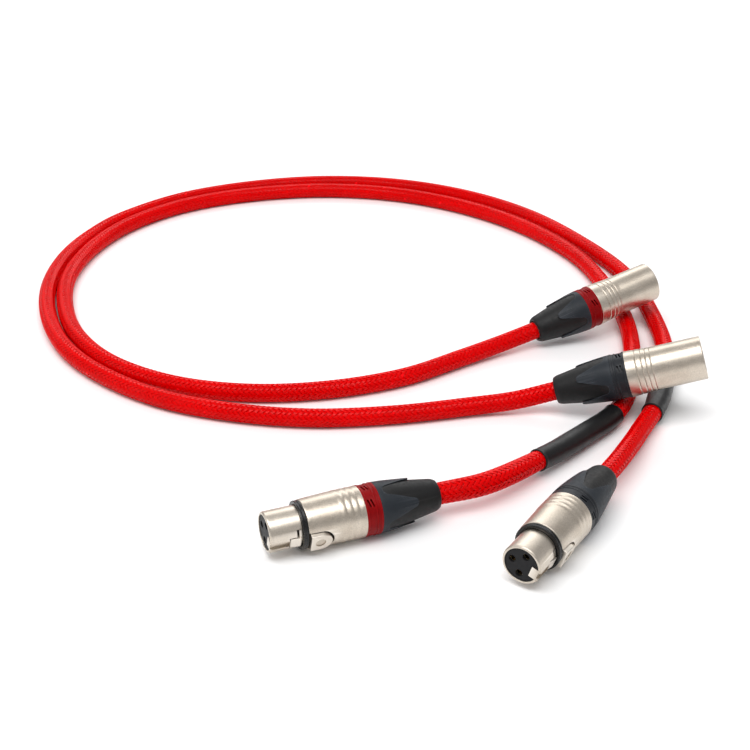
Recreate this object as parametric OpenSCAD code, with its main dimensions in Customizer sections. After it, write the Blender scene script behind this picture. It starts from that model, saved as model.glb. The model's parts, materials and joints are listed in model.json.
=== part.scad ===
// Pair of balanced XLR cables in red braided sleeving, laid out together as one open loop.
// Each cable runs from a male to a female cable connector. One pair of connectors carries
// red coding rings and the other carries black ones.

/* [Cable] */
// Outer diameter of the braided sleeve
sleeve_d = 8.3; // [7.8:0.1:8.4]
// Diameter of the cable jacket inside the sleeve
jacket_d = 6.2; // [5:0.1:6.4]
// Outer diameter of the heat-shrink band
shrink_d = 9.6; // [9.2:0.1:10]

/* [Female connector] */
// Diameter of the nose that enters a male shell
nose_d = 15.9; // [15.7:0.1:16]
// Length of the female shell, from its mouth to the coding ring
female_shell_len = 38.5; // [38:0.5:40]
// Diameter of the three contact bores
socket_bore_d = 2.5; // [2.45:0.05:2.6]

/* [Male connector] */
// Diameter of the male shell over its plain barrel
barrel_d = 19; // [18.8:0.1:19.2]
// Length of the male shell, from its mouth to the coding ring
male_shell_len = 33; // [32.5:0.5:34]
// Diameter of the three contact pins
contact_pin_d = 2.4; // [2.3:0.05:2.4]
// Diameter of the hollow that takes a female nose
hollow_d = 16.2; // [16.1:0.1:16.4]

/* [Shared connector parts] */
// Largest diameter, at the rear of each shell and on the coding ring
shell_d = 20.4; // [20.2:0.1:20.8]
// Length of the coding ring
coding_len = 6.5; // [6:0.25:7]
// Length of bushing and boot behind the coding ring
boot_len = 26; // [25.5:0.5:27]
// Diameter of the boot at its rear rim
boot_rear_d = 12.9; // [12.5:0.1:13.5]

/* [Hidden] */

// Colours
nickel = [0.80, 0.77, 0.71];
coding_red = [0.72, 0.04, 0.06];
coding_black = [0.05, 0.05, 0.06];
sleeve_red = [0.85, 0.02, 0.04];
bushing_grey = [0.16, 0.18, 0.21];
rubber_black = [0.07, 0.07, 0.08];
plastic_black = [0.04, 0.04, 0.05];
gold = [0.83, 0.66, 0.30];
jacket_grey = [0.12, 0.12, 0.13];
chuck_white = [0.86, 0.86, 0.84];

// Each connector is drawn along +X: its mouth at the origin, its cable leaving towards +X,
// and its latch or key towards +Z.
female_len = female_shell_len + coding_len + boot_len;
male_len = male_shell_len + coding_len + boot_len;
fit_gap = 0.02;

// Female nose, gasket groove and shell
nose_r = nose_d / 2;
nose_start = 0.5;
nose_bore_r = 6.9;
nose_plain_end = 7.6;
nose_relief = 0.2;
keyway_end = 8;
gasket_start = 13.2;
gasket_end = 15.3;
gasket_seat_r = 7.4;
gasket_edge = 0.4;
gasket_r = 9.4;
shoulder_r = 9.4;
shell_r = shell_d / 2;
collar_bore_r = 8.4;
female_bore_end = 29;
rib_pitch = 2.6;
rib_count = 3;
rib_h = 0.12;

// Contacts, on a circle with contact 3 opposite the key
contact_circle_r = 4.1;
contact_angles = [85, -85, 180];
socket_r = 1.8;
socket_start = 2;
socket_bore_end = 15;
cup_r = 1.5;
cup_bore_r = 0.95;
wire_r = 0.7;

// Female insert
insert_start = 0.9;
insert_end = 24;
insert_mouth_r = 1.45;
channel_floor = 4.2;
bar_channel_floor = 3.8;
key_half_w = 1.3;
key_floor_r = 6.9;
key_block_half_w = 2.3;
key_block_bottom = 3.9;
key_block_top = 7.1;
key_block_end = 8.9;
key_slot_end = 9.1;

// Latch lever, drawn at rest, hooked
latch_w = 4.4;
latch_bottom = 5.9;
latch_neck_top = 7;
hook_start = 8.4;
hook_end = 12.4;
hook_top = 8.15;
bar_w = 9.4;
bar_start = 11.9;
bar_end = 13;
bar_gap = 0.9;
bar_r = 7.8;
bar_bottom = 5.2;
button_start = 15.7;
button_w = 8;
button_arc_x = 20.3;
button_top = 10.5;
button_edge = 0.4;
button_slot_start = 15.1;
button_slot_shift = 0.5;
recess_x = 19.5;
recess_d = 4;
recess_depth = 0.4;
slot_gap = 0.35;
pivot_x = 22.3;
pivot_z = 7;
pivot_pin_d = 1.5;
pivot_fit = 0.03;
pivot_pin_len = 12;

// Latch spring, standing in a pocket of the insert
spring_x = 18;
spring_r = 1.2;
spring_wire_r = 0.2;
spring_turns = 6;
spring_bottom = -1.3;
spring_pocket_r = 1.6;

// Male insert and pins
male_insert_start = 15;
male_insert_end = 26.5;
male_bore_end = 27.5;
pin_start = 2.2;
pin_shank_r = 1.4;
// Recess inside the mouth that catches the female latch
window_start = 1.3;
window_end = 4.2;
window_w = 9;
window_r = 8.9;
male_key_start = 2.6;
groove_places = [22, 24, 26, 28.5];
groove_half_w = 0.35;
groove_depth = 0.2;

// Bushing, boot and chuck, measured from the start of the coding ring
collar_r = 8.35;
bushing_bore_r = 6.6;
collar_reach = 5;
inlay_start = 8.7;
tongue_end = 22;
boot_core_start = 18.5;
boot_hole_r = sleeve_d / 2 + 0.15;
tongue_proud = 1.2;
chuck_start = 1;
chuck_end = 17;

// Places of the four connectors: mouth position, heading from mouth to cable, nose-up tilt
// and roll about the axis. Both female latches face sideways, a little downwards.
red_female_place = [[-25, -185, 10.2], 22, 0, 108];
black_female_place = [[69.5, -206, 10.2], 57, 0, 108];
red_male_place = [[153.2, 16.7, 22.5], 204, 12.5, 90];
black_male_place = [[159, -82.5, 31.3], 173.5, 18, 90];

// Turn of each coding ring, to the first of its slots
red_female_first_slot = -245;
black_female_first_slot = -76;
red_male_first_slot = -140;
black_male_first_slot = -134;

// Routes of the two cables between the connectors' rear rims, lying on the floor
floor_z = 4.3;
red_route = [
    [78, -18, 5.6], [58, -31, 4.5], [30, -50, floor_z], [-4, -62, floor_z], [-40, -65, floor_z],
    [-75, -57, floor_z], [-106, -37, floor_z], [-128, -8, floor_z], [-141, 27, floor_z],
    [-146, 65, floor_z], [-140, 105, floor_z], [-124, 140, floor_z], [-96, 169, floor_z],
    [-58, 187, floor_z], [-14, 194, floor_z], [30, 187, floor_z], [70, 166, floor_z],
    [103, 134, floor_z], [127, 93, floor_z], [138, 50, floor_z], [142, 8, floor_z],
    [138, -35, floor_z], [126, -79, 5.2], [104, -107, 5.5], [84, -128, 7], [62, -149, 9.6]
];
black_route = [
    [79, -75.5, 6.1], [59, -78, 4.5], [26, -85, floor_z], [-10, -88, floor_z],
    [-45, -83, floor_z], [-78, -71, floor_z], [-107, -50, floor_z], [-130, -23, floor_z],
    [-146, 12, floor_z], [-154, 50, floor_z], [-153, 88, floor_z], [-144, 121, floor_z],
    [-129, 149, floor_z], [-98, 180, floor_z], [-56, 200, floor_z], [-12, 208, floor_z],
    [33, 202, floor_z], [74, 182, floor_z], [108, 150, floor_z], [134, 107, floor_z],
    [151, 64, floor_z], [156, 18, 4.7], [155, -28, 5.2], [145, -70, 5.2],
    [130, -103, 6], [118, -129, 9.2]
];

// Heat-shrink bands, as stretches of each route counted in route points
red_shrink_span = [23.23, 25];
black_shrink_span = [23.1, 24.45];
rings_before = 33;
rings_shrunk = 3;
rings_after = 3;
tube_sides = 10;
// Radius of the corners of a many-sided tube that has the area of a round one of radius 1
corner_r = sqrt(2 * PI / (tube_sides * sin(360 / tube_sides)));
overlap = 1;

// Shift that centres the whole layout on the origin
home = [-1.4, -1.3, 0];

// Point at a distance along a connector's axis
function heading(place) =
    let (az = place[1], tilt = place[2])
    [cos(tilt) * cos(az), cos(tilt) * sin(az), -sin(tilt)];
function along(place, distance) = home + place[0] + distance * heading(place);

// Smooth curve through a list of points, at a place counted in points
function curve_at(points, t) =
    let (
        last = len(points) - 1,
        i = min(floor(t), last - 1),
        u = t - i,
        b = points[i],
        c = points[i + 1],
        a = i > 0 ? points[i - 1] : 2 * b - c,
        d = i + 2 <= last ? points[i + 2] : 2 * c - b
    )
    0.5 * (2 * b + (c - a) * u + (2 * a - 5 * b + 4 * c - d) * u ^ 2
        + (3 * b - a - 3 * c + d) * u ^ 3);
function unit(v) = v / norm(v);
function curve_heading(points, t) =
    let (step = 0.02, last = len(points) - 1)
    unit(curve_at(points, min(t + step, last)) - curve_at(points, max(t - step, 0)));
function ring(points, t, r, end_headings) =
    let (
        ahead = t == 0 ? end_headings[0]
            : t == len(points) - 1 ? end_headings[1] : curve_heading(points, t),
        side = unit(cross(ahead, [0, 0, 1])),
        up = cross(side, ahead)
    )
    [for (k = [0:tube_sides - 1])
        let (a = 360 * (k + 0.5) / tube_sides)
        curve_at(points, t) + corner_r * r * (cos(a) * side + sin(a) * up)];
function stations(span, last) = concat(
    [for (i = [0:rings_before - 1]) span[0] * i / rings_before],
    [for (i = [0:rings_shrunk]) span[0] + (span[1] - span[0]) * i / rings_shrunk],
    [for (i = [1:rings_after]) span[1] + (last - span[1]) * i / rings_after]
);
function wall_faces(rows, sides, first, flip) =
    [for (i = [0:rows - 2], k = [0:sides - 1])
        let (
            a = first + i * sides + k,
            b = first + i * sides + (k + 1) % sides,
            quad = [a, a + sides, b + sides, b]
        )
        flip ? [quad[3], quad[2], quad[1], quad[0]] : quad];
function turned_over(face) = [for (i = [len(face) - 1:-1:0]) face[i]];

module swept(rings, sides) {
    rows = len(rings);
    start_cap = [for (k = [0:sides - 1]) k];
    end_cap = [for (k = [0:sides - 1]) (rows - 1) * sides + k];
    polyhedron(
        points = [for (r = rings, p = r) p],
        faces = concat(wall_faces(rows, sides, 0, false), [start_cap], [turned_over(end_cap)])
    );
}

module swept_pipe(outer, inner, sides) {
    rows = len(outer);
    shift = rows * sides;
    last = (rows - 1) * sides;
    rim = [for (k = [0:sides - 1])
        let (n = (k + 1) % sides)
        [k, n, shift + n, shift + k]];
    far_rim = [for (k = [0:sides - 1])
        let (n = (k + 1) % sides)
        [last + n, last + k, shift + last + k, shift + last + n]];
    polyhedron(
        points = [for (r = concat(outer, inner), p = r) p],
        faces = concat(wall_faces(rows, sides, 0, false),
            wall_faces(rows, sides, shift, true), rim, far_rim)
    );
}

// Solid of revolution about the X axis, from an outline of [radius, x]
module turned(outline) {
    rotate([0, 90, 0]) rotate_extrude($fn = 64) polygon(outline);
}

module rod(start, end, r) {
    d = end - start;
    translate(start)
        rotate([0, acos(d[2] / norm(d)), atan2(d[1], d[0])])
            cylinder(r = r, h = norm(d), $fn = 24);
}

module block(low, high) {
    translate(low) cube(high - low);
}

module on_contacts() {
    for (a = contact_angles)
        rotate([a, 0, 0]) translate([0, 0, contact_circle_r]) children();
}

module bore_x(start, end, r) {
    translate([start, 0, 0]) rotate([0, 90, 0]) cylinder(r = r, h = end - start, $fn = 32);
}

module at(place) {
    translate(home + place[0]) rotate([0, place[2], place[1]]) rotate([place[3], 0, 0]) children();
}

// Cable pieces
function full_route(male_place, route, female_place) =
    concat([along(male_place, male_len)], [for (p = route) home + p],
        [along(female_place, female_len)]);

module sleeve(route, span, end_headings) {
    color(sleeve_red)
        swept([for (t = stations(span, len(route) - 1))
            ring(route, t, sleeve_d / 2, end_headings)], tube_sides);
}

module heat_shrink(route, span) {
    places = [for (i = [0:rings_shrunk]) span[0] + (span[1] - span[0]) * i / rings_shrunk];
    color(rubber_black)
        swept_pipe(
            [for (t = places) ring(route, t, shrink_d / 2)],
            [for (t = places) ring(route, t, sleeve_d / 2 + fit_gap)],
            tube_sides
        );
}

// Female connector
module female_shell() {
    rear = female_shell_len;
    rib_start = rear - 2 - rib_count * rib_pitch;
    ribs = [for (i = [0:rib_count - 1], p = [[0, 0.2], [rib_h, 0.7], [rib_h, 1.7], [0, 2.2]])
        [shell_r - rib_h + p[0], rib_start + i * rib_pitch + p[1]]];
    color(nickel) difference() {
        union() {
            turned(concat(
                [[nose_bore_r, nose_start], [nose_r - 0.5, nose_start], [nose_r, nose_start + 0.5], [nose_r, nose_plain_end],
                    [nose_r - nose_relief, nose_plain_end], [nose_r - nose_relief, gasket_start],
                    [gasket_seat_r, gasket_start], [gasket_seat_r, gasket_end],
                    [shoulder_r, gasket_end], [shoulder_r + 0.3, gasket_end + 0.5]],
                ribs,
                [[shell_r, rear - 1], [shell_r, rear], [collar_bore_r, rear],
                    [collar_bore_r, female_bore_end], [nose_bore_r, female_bore_end]]
            ));
            block([nose_start, -key_block_half_w, key_block_bottom],
                [key_block_end, key_block_half_w, key_block_top]);
        }
        block([0, -key_half_w, key_floor_r], [keyway_end, key_half_w, nose_r + overlap]);
        block([hook_start - slot_gap, -latch_w / 2 - slot_gap, 0],
            [gasket_end, latch_w / 2 + slot_gap, shell_r]);
        block([bar_start - bar_gap, -bar_w / 2 - slot_gap, 0],
            [gasket_start, bar_w / 2 + slot_gap, shell_r]);
        button_slot();
        pivot_bore(pivot_pin_d / 2);
    }
}

module button_outline(w) {
    translate([button_arc_x, 0]) circle(d = w, $fn = 48);
    translate([button_start - 1, -w / 2]) square([button_arc_x - button_start + 1, w]);
}

module button_slot() {
    difference() {
        translate([button_slot_shift, 0, 0])
            linear_extrude(shell_r + overlap) button_outline(button_w + 2 * slot_gap);
        block([0, -button_w, -overlap], [button_slot_start, button_w, shell_r + 2 * overlap]);
    }
}

module pivot_bore(r) {
    translate([pivot_x, pivot_pin_len / 2, pivot_z]) rotate([90, 0, 0])
        cylinder(r = r, h = pivot_pin_len, $fn = 32);
}

module female_gasket() {
    color(rubber_black)
        turned([[gasket_seat_r + fit_gap, gasket_start], [gasket_r - 0.4, gasket_start],
            [gasket_r, gasket_start + gasket_edge], [gasket_r, gasket_end - gasket_edge],
            [gasket_r - 0.4, gasket_end], [gasket_seat_r + fit_gap, gasket_end]]);
}

module female_latch() {
    side = [[hook_start, latch_bottom], [pivot_x, latch_bottom], [pivot_x, latch_neck_top],
        [hook_end, latch_neck_top], [hook_end, hook_top], [hook_end - 1, hook_top],
        [hook_start, latch_neck_top + 0.6]];
    color(nickel) difference() {
        union() {
            translate([0, latch_w / 2, 0]) rotate([90, 0, 0]) linear_extrude(latch_w) polygon(side);
            intersection() {
                block([bar_start, -bar_w / 2, bar_bottom], [bar_end, bar_w / 2, shell_r]);
                turned([[0, bar_start - overlap], [bar_r, bar_start - overlap],
                    [bar_r, bar_end + overlap], [0, bar_end + overlap]]);
            }
            intersection() {
                hull() {
                    translate([0, 0, latch_bottom])
                        linear_extrude(button_top - button_edge - latch_bottom)
                            button_outline(button_w);
                    translate([0, 0, latch_bottom]) linear_extrude(button_top - latch_bottom)
                        button_outline(button_w - 2 * button_edge);
                }
                block([button_start, -button_w, 0],
                    [button_arc_x + button_w, button_w, button_top + overlap]);
            }
        }
        pivot_bore(pivot_pin_d / 2 + pivot_fit);
        translate([recess_x, 0, button_top - recess_depth])
            cylinder(d = recess_d, h = recess_depth + overlap, $fn = 32);
    }
}

module female_latch_pin() {
    color(nickel) pivot_bore(pivot_pin_d / 2);
}

module female_latch_spring() {
    steps = 12;
    wire_sides = 6;
    top = latch_bottom - spring_wire_r;
    rings = [for (i = [0:spring_turns * steps])
        let (
            a = 360 * i / steps,
            z = spring_bottom + (top - spring_bottom) * i / (spring_turns * steps),
            out = [cos(a), sin(a), 0]
        )
        [for (k = [0:wire_sides - 1])
            let (b = 360 * k / wire_sides)
            [spring_x, 0, z] + (spring_r + spring_wire_r * cos(b)) * out
                + [0, 0, spring_wire_r * sin(b)]]];
    color(nickel) swept(rings, wire_sides);
}

module female_insert() {
    color(plastic_black) difference() {
        turned([[0, insert_start], [nose_bore_r - fit_gap, insert_start],
            [nose_bore_r - fit_gap, insert_end], [0, insert_end]]);
        block([0, -latch_w / 2 - slot_gap, channel_floor],
            [insert_end + overlap, latch_w / 2 + slot_gap, shell_r]);
        block([bar_start - bar_gap, -bar_w / 2 - slot_gap, bar_channel_floor],
            [bar_end + 0.6, bar_w / 2 + slot_gap, shell_r]);
        block([button_slot_start, -button_w / 2 - slot_gap, channel_floor],
            [insert_end + overlap, button_w / 2 + slot_gap, shell_r]);
        block([0, -key_block_half_w - fit_gap, key_block_bottom - fit_gap],
            [key_slot_end, key_block_half_w + fit_gap, shell_r]);
        on_contacts() bore_x(0, insert_end + overlap, insert_mouth_r);
        on_contacts() bore_x(socket_start, insert_end + overlap, socket_r + fit_gap);
        translate([spring_x, 0, spring_bottom - 0.3])
            cylinder(r = spring_pocket_r, h = shell_r, $fn = 32);
    }
}

module female_sockets() {
    color(gold) on_contacts() difference() {
        union() {
            bore_x(socket_start, insert_end - overlap, socket_r);
            bore_x(insert_end - overlap, insert_end + 4.5, cup_r);
        }
        bore_x(0, socket_bore_end, socket_bore_d / 2);
        bore_x(insert_end + 1.5, insert_end + 6, cup_bore_r);
    }
}

module ground_plate(start, r) {
    color(nickel) difference() {
        intersection() {
            turned([[0, start], [r, start], [r, start + 0.4], [0, start + 0.4]]);
            block([start - overlap, -r, -r], [start + overlap, -1.9, 2.8]);
        }
        on_contacts() bore_x(start - overlap, start + overlap, cup_r + fit_gap);
    }
}

// Coding ring, bushing, boot and chuck are alike on all four connectors
module coding_ring(start, shade, first_slot) {
    band_r = shell_r - 0.25;
    slot_pairs = 5;
    slot_pitch = 45;
    color(shade) difference() {
        turned([[shell_r - 1.75, start], [shell_r, start], [shell_r, start + 0.9],
            [band_r, start + 1.1], [band_r, start + 3.9], [shell_r, start + 4.1],
            [shell_r, start + 4.4], [band_r, start + 4.6], [band_r, start + 5.4],
            [shell_r, start + 5.6], [shell_r, start + coding_len],
            [shell_r - 1.75, start + coding_len]]);
        for (i = [0:slot_pairs - 1], place = [1.8, 3.1])
            rotate([first_slot + i * slot_pitch, 0, 0])
                translate([start + place, 0, shell_r - 0.6]) rotate([0, 0, 12])
                    cube([0.7, 3, 2], center = true);
    }
}

module tail_profile(start, proud) {
    rear_r = boot_rear_d / 2;
    end = start + coding_len + boot_len;
    turned([[0, start + coding_len], [shell_r - 0.2, start + coding_len],
        [shell_r - 0.5 + proud / 10, start + coding_len + 5], [rear_r + proud, end - 1.4],
        [rear_r - 1, end], [0, end]]);
}

module inlay_prisms(start) {
    a = start + inlay_start;
    b = start + tongue_end;
    outline = [[a + 2.4, -2.4], [a + 8, -3.5], [b - 2, -4.7], [b, -6.5],
        [b, 6.5], [b - 2, 4.7], [a + 8, 3.5], [a + 2.4, 2.4]];
    for (q = [0:90:270]) rotate([q, 0, 0]) linear_extrude(shell_r + overlap) {
        polygon(outline);
        translate([a + 2.4, 0]) circle(r = 2.4, $fn = 32);
    }
}

module tail_core(start, skin) {
    rear_r = boot_rear_d / 2;
    end = start + coding_len + boot_len;
    turned([[0, start - collar_reach - overlap], [bushing_bore_r, start - collar_reach - overlap],
        [bushing_bore_r, start + boot_core_start], [rear_r - skin, end], [0, end]]);
}

module bushing(start) {
    tongue_wall = 1.4;
    color(bushing_grey) difference() {
        union() {
            difference() {
                intersection() {
                    tail_profile(start, tongue_proud);
                    turned([[0, start], [shell_r + 1, start], [shell_r + 1, start + tongue_end],
                        [0, start + tongue_end]]);
                }
                inlay_prisms(start);
            }
            turned([[0, start - collar_reach], [collar_r, start - collar_reach],
                [collar_r, start + coding_len + overlap], [0, start + coding_len + overlap]]);
        }
        tail_core(start, tongue_wall);
    }
}

module boot(start) {
    tongue_wall = 1.4;
    end = start + coding_len + boot_len;
    color(rubber_black) difference() {
        union() {
            intersection() {
                tail_profile(start, 0);
                union() {
                    inlay_prisms(start);
                    turned([[0, start + tongue_end], [shell_r, start + tongue_end],
                        [shell_r, end + overlap], [0, end + overlap]]);
                }
            }
            intersection() {
                tail_core(start, tongue_wall + fit_gap);
                turned([[0, start + boot_core_start], [shell_r, start + boot_core_start],
                    [shell_r, end], [0, end]]);
            }
        }
        turned([[0, start - overlap], [bushing_bore_r, start - overlap],
            [bushing_bore_r, start + boot_core_start], [0, start + boot_core_start]]);
        bore_x(start, end + overlap, boot_hole_r);
    }
}

module chuck(start) {
    grip_r = sleeve_d / 2 + fit_gap;
    a = start + chuck_start;
    b = start + chuck_end;
    color(chuck_white) difference() {
        turned([[grip_r, a], [6.3, a], [6.3, a + 4], [5.6, a + 5], [5.6, b - 3],
            [5, b], [grip_r, b]]);
        for (q = [0, 90]) rotate([q, 0, 0])
            block([a + 6, -0.4, -shell_r], [b + overlap, 0.4, shell_r]);
    }
}

module cable_end(start, jacket_start) {
    end = start + coding_len + boot_len;
    color(jacket_grey) bore_x(jacket_start, end, jacket_d / 2);
    color(sleeve_red)
        turned([[jacket_d / 2 + fit_gap, start + 2], [sleeve_d / 2, start + 2],
            [sleeve_d / 2, end], [jacket_d / 2 + fit_gap, end]]);
}

module wires(cup_start, jacket_start) {
    wire_circle_r = 1.5;
    elbow_r = wire_r + 0.06;
    color(coding_red) difference() {
        for (a = contact_angles) rotate([a, 0, 0]) {
            bore = [cup_start, 0, contact_circle_r];
            bend = [cup_start + 3.2, 0, contact_circle_r];
            root = [jacket_start + 0.3, 0, wire_circle_r];
            rod(bore, bend, wire_r);
            translate(bend) sphere(r = elbow_r, $fn = 24);
            rod(bend, root, wire_r);
        }
        bore_x(jacket_start, jacket_start + 2 * overlap, jacket_d / 2 + overlap);
    }
}

// Male connector
module male_shell() {
    barrel_r = barrel_d / 2;
    flare_start = 20;
    flare = (shell_r - barrel_r) / (male_shell_len - flare_start);
    grooves = [for (g = groove_places, p = [[0, -1], [-1, 0], [0, 1]])
        [barrel_r + flare * (g - flare_start) + p[0] * groove_depth, g + p[1] * groove_half_w]];
    color(nickel) difference() {
        union() {
            turned(concat(
                [[hollow_d / 2, 0], [barrel_r - 0.3, 0], [barrel_r, 0.4], [barrel_r, flare_start]],
                grooves,
                [[shell_r, male_shell_len], [collar_bore_r, male_shell_len],
                    [collar_bore_r, male_bore_end], [hollow_d / 2, male_bore_end]]
            ));
            block([male_key_start, -1, hollow_d / 2 - 1], [male_insert_start, 1, hollow_d / 2 + 0.4]);
        }
        for (side = [0, 1]) mirror([0, side, 0]) intersection() {
            block([window_start, 1.2, hollow_d / 2 - 3], [window_end, window_w / 2, shell_r]);
            turned([[0, window_start - overlap], [window_r, window_start - overlap],
                [window_r, window_end + overlap], [0, window_end + overlap]]);
        }
    }
}

module male_insert() {
    color(plastic_black) difference() {
        turned([[0, male_insert_start], [hollow_d / 2 - fit_gap, male_insert_start],
            [hollow_d / 2 - fit_gap, male_insert_end], [0, male_insert_end]]);
        on_contacts() bore_x(0, male_insert_end + overlap, pin_shank_r + fit_gap);
    }
}

module male_pins() {
    r = contact_pin_d / 2;
    cups = male_insert_end + 0.5;
    color(gold) on_contacts() difference() {
        turned([[0, pin_start], [r - 0.5, pin_start], [r, pin_start + 0.8],
            [r, male_insert_start], [pin_shank_r, male_insert_start], [pin_shank_r, cups],
            [cup_r, cups], [cup_r, cups + 3.5], [0, cups + 3.5]]);
        bore_x(cups + 0.5, cups + 5, cup_bore_r);
    }
}

// Pieces in place
red_full = full_route(red_male_place, red_route, red_female_place);
black_full = full_route(black_male_place, black_route, black_female_place);
// Each sleeve ends square to the connectors' axes
red_ends = [heading(red_male_place), -heading(red_female_place)];
black_ends = [heading(black_male_place), -heading(black_female_place)];
female_jacket_start = female_shell_len - 7;
male_jacket_start = male_shell_len - 1;
female_cup = insert_end + 1.6;
male_cup = male_insert_end + 1.1;

sleeve(red_full, red_shrink_span, red_ends);  // red_sleeve
heat_shrink(red_full, red_shrink_span);  // red_heat_shrink
sleeve(black_full, black_shrink_span, black_ends);  // black_sleeve
heat_shrink(black_full, black_shrink_span);  // black_heat_shrink

at(red_female_place) female_shell();  // red_female_shell
at(red_female_place) female_gasket();  // red_female_gasket
at(red_female_place) female_latch();  // red_female_latch
at(red_female_place) female_latch_spring();  // red_female_latch_spring
at(red_female_place) female_latch_pin();  // red_female_latch_pin
at(red_female_place) female_insert();  // red_female_insert
at(red_female_place) female_sockets();  // red_female_sockets
at(red_female_place) ground_plate(insert_end, nose_bore_r - fit_gap);  // red_female_ground
at(red_female_place) chuck(female_shell_len);  // red_female_chuck
at(red_female_place) coding_ring(female_shell_len, coding_red, red_female_first_slot);  // red_female_coding_ring
at(red_female_place) bushing(female_shell_len);  // red_female_bushing
at(red_female_place) boot(female_shell_len);  // red_female_boot
at(red_female_place) cable_end(female_shell_len, female_jacket_start);  // red_female_cable_end
at(red_female_place) wires(female_cup, female_jacket_start);  // red_female_wires

at(black_female_place) female_shell();  // black_female_shell
at(black_female_place) female_gasket();  // black_female_gasket
at(black_female_place) female_latch();  // black_female_latch
at(black_female_place) female_latch_spring();  // black_female_latch_spring
at(black_female_place) female_latch_pin();  // black_female_latch_pin
at(black_female_place) female_insert();  // black_female_insert
at(black_female_place) female_sockets();  // black_female_sockets
at(black_female_place) ground_plate(insert_end, nose_bore_r - fit_gap);  // black_female_ground
at(black_female_place) chuck(female_shell_len);  // black_female_chuck
at(black_female_place) coding_ring(female_shell_len, coding_black, black_female_first_slot);  // black_female_coding_ring
at(black_female_place) bushing(female_shell_len);  // black_female_bushing
at(black_female_place) boot(female_shell_len);  // black_female_boot
at(black_female_place) cable_end(female_shell_len, female_jacket_start);  // black_female_cable_end
at(black_female_place) wires(female_cup, female_jacket_start);  // black_female_wires

at(red_male_place) male_shell();  // red_male_shell
at(red_male_place) male_insert();  // red_male_insert
at(red_male_place) male_pins();  // red_male_pins
at(red_male_place) ground_plate(male_insert_end, hollow_d / 2 - fit_gap);  // red_male_ground
at(red_male_place) chuck(male_shell_len);  // red_male_chuck
at(red_male_place) coding_ring(male_shell_len, coding_red, red_male_first_slot);  // red_male_coding_ring
at(red_male_place) bushing(male_shell_len);  // red_male_bushing
at(red_male_place) boot(male_shell_len);  // red_male_boot
at(red_male_place) cable_end(male_shell_len, male_jacket_start);  // red_male_cable_end
at(red_male_place) wires(male_cup, male_jacket_start);  // red_male_wires

at(black_male_place) male_shell();  // black_male_shell
at(black_male_place) male_insert();  // black_male_insert
at(black_male_place) male_pins();  // black_male_pins
at(black_male_place) ground_plate(male_insert_end, hollow_d / 2 - fit_gap);  // black_male_ground
at(black_male_place) chuck(male_shell_len);  // black_male_chuck
at(black_male_place) coding_ring(male_shell_len, coding_black, black_male_first_slot);  // black_male_coding_ring
at(black_male_place) bushing(male_shell_len);  // black_male_bushing
at(black_male_place) boot(male_shell_len);  // black_male_boot
at(black_male_place) cable_end(male_shell_len, male_jacket_start);  // black_male_cable_end
at(black_male_place) wires(male_cup, male_jacket_start);  // black_male_wires
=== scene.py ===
"""Pair of balanced XLR cables in red braided sleeving, laid together as one open loop.

Connectors are drawn in millimetres in their own frame, with the mouth at the origin, the cable
leaving along +X and the latch or key towards +Z. Cables are drawn in millimetres in the row's
frame. Everything is turned into metres when its mesh is put in place.
"""
import json
import math

import bmesh
import bpy
import numpy as np
from mathutils import Matrix, Vector


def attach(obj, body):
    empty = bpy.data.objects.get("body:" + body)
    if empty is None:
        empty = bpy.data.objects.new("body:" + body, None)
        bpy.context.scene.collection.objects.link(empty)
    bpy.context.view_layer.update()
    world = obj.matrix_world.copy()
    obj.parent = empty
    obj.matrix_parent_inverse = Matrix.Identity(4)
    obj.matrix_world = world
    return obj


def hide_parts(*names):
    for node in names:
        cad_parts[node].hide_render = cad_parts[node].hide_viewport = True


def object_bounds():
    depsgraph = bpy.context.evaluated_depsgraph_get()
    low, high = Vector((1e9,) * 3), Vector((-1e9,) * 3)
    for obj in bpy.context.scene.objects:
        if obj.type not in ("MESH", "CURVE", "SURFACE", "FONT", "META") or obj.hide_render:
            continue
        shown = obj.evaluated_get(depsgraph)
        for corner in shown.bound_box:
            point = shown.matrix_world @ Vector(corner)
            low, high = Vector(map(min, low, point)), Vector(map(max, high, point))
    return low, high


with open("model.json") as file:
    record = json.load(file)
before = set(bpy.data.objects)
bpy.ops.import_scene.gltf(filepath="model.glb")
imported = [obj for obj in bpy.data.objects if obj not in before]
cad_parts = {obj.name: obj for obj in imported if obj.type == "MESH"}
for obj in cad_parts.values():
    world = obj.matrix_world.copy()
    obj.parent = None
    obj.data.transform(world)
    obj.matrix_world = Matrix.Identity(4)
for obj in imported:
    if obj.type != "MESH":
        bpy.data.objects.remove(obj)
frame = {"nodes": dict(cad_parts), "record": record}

MM = 0.001
CAD_BOX = [[float(v) for v in corner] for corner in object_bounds()]
MOUNTS = {mount["name"]: mount for mount in frame["record"]["mounts"]}

# Lengths along a connector, from its mouth
FEMALE_SHELL_LEN = 38.5
MALE_SHELL_LEN = 33.0
CODING_LEN = 6.5
BOOT_LEN = 26.0

# Radii and diameters, the same for every connector
SHELL_R = 10.2
NOSE_R = 7.95
NOSE_BORE_R = 6.9
COLLAR_BORE_R = 8.4
BARREL_R = 9.5
HOLLOW_R = 8.1
BUSHING_BORE_R = 6.55
TAIL_BORE_R = 6.2
SCREW_COLLAR_R = 8.35
BOOT_REAR_R = 6.45

# Female shell: lows and highs of its key block and keyway, and where its bores and ribs are
NOSE_START = 0.5
KEY_BLOCK = (0.5, -2.3, 3.9), (8.9, 2.3, 7.15)
KEYWAY = (0, -1.3, 6.9), (8.0, 1.3, 9)
FEMALE_BORE_END = 29
GASKET_SEAT_R = 7.4
RIB_START = FEMALE_SHELL_LEN - 9.8
RIB_PITCH = 2.6
RIB_COUNT = 3
RIB_ROOT_R = 10.08

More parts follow.
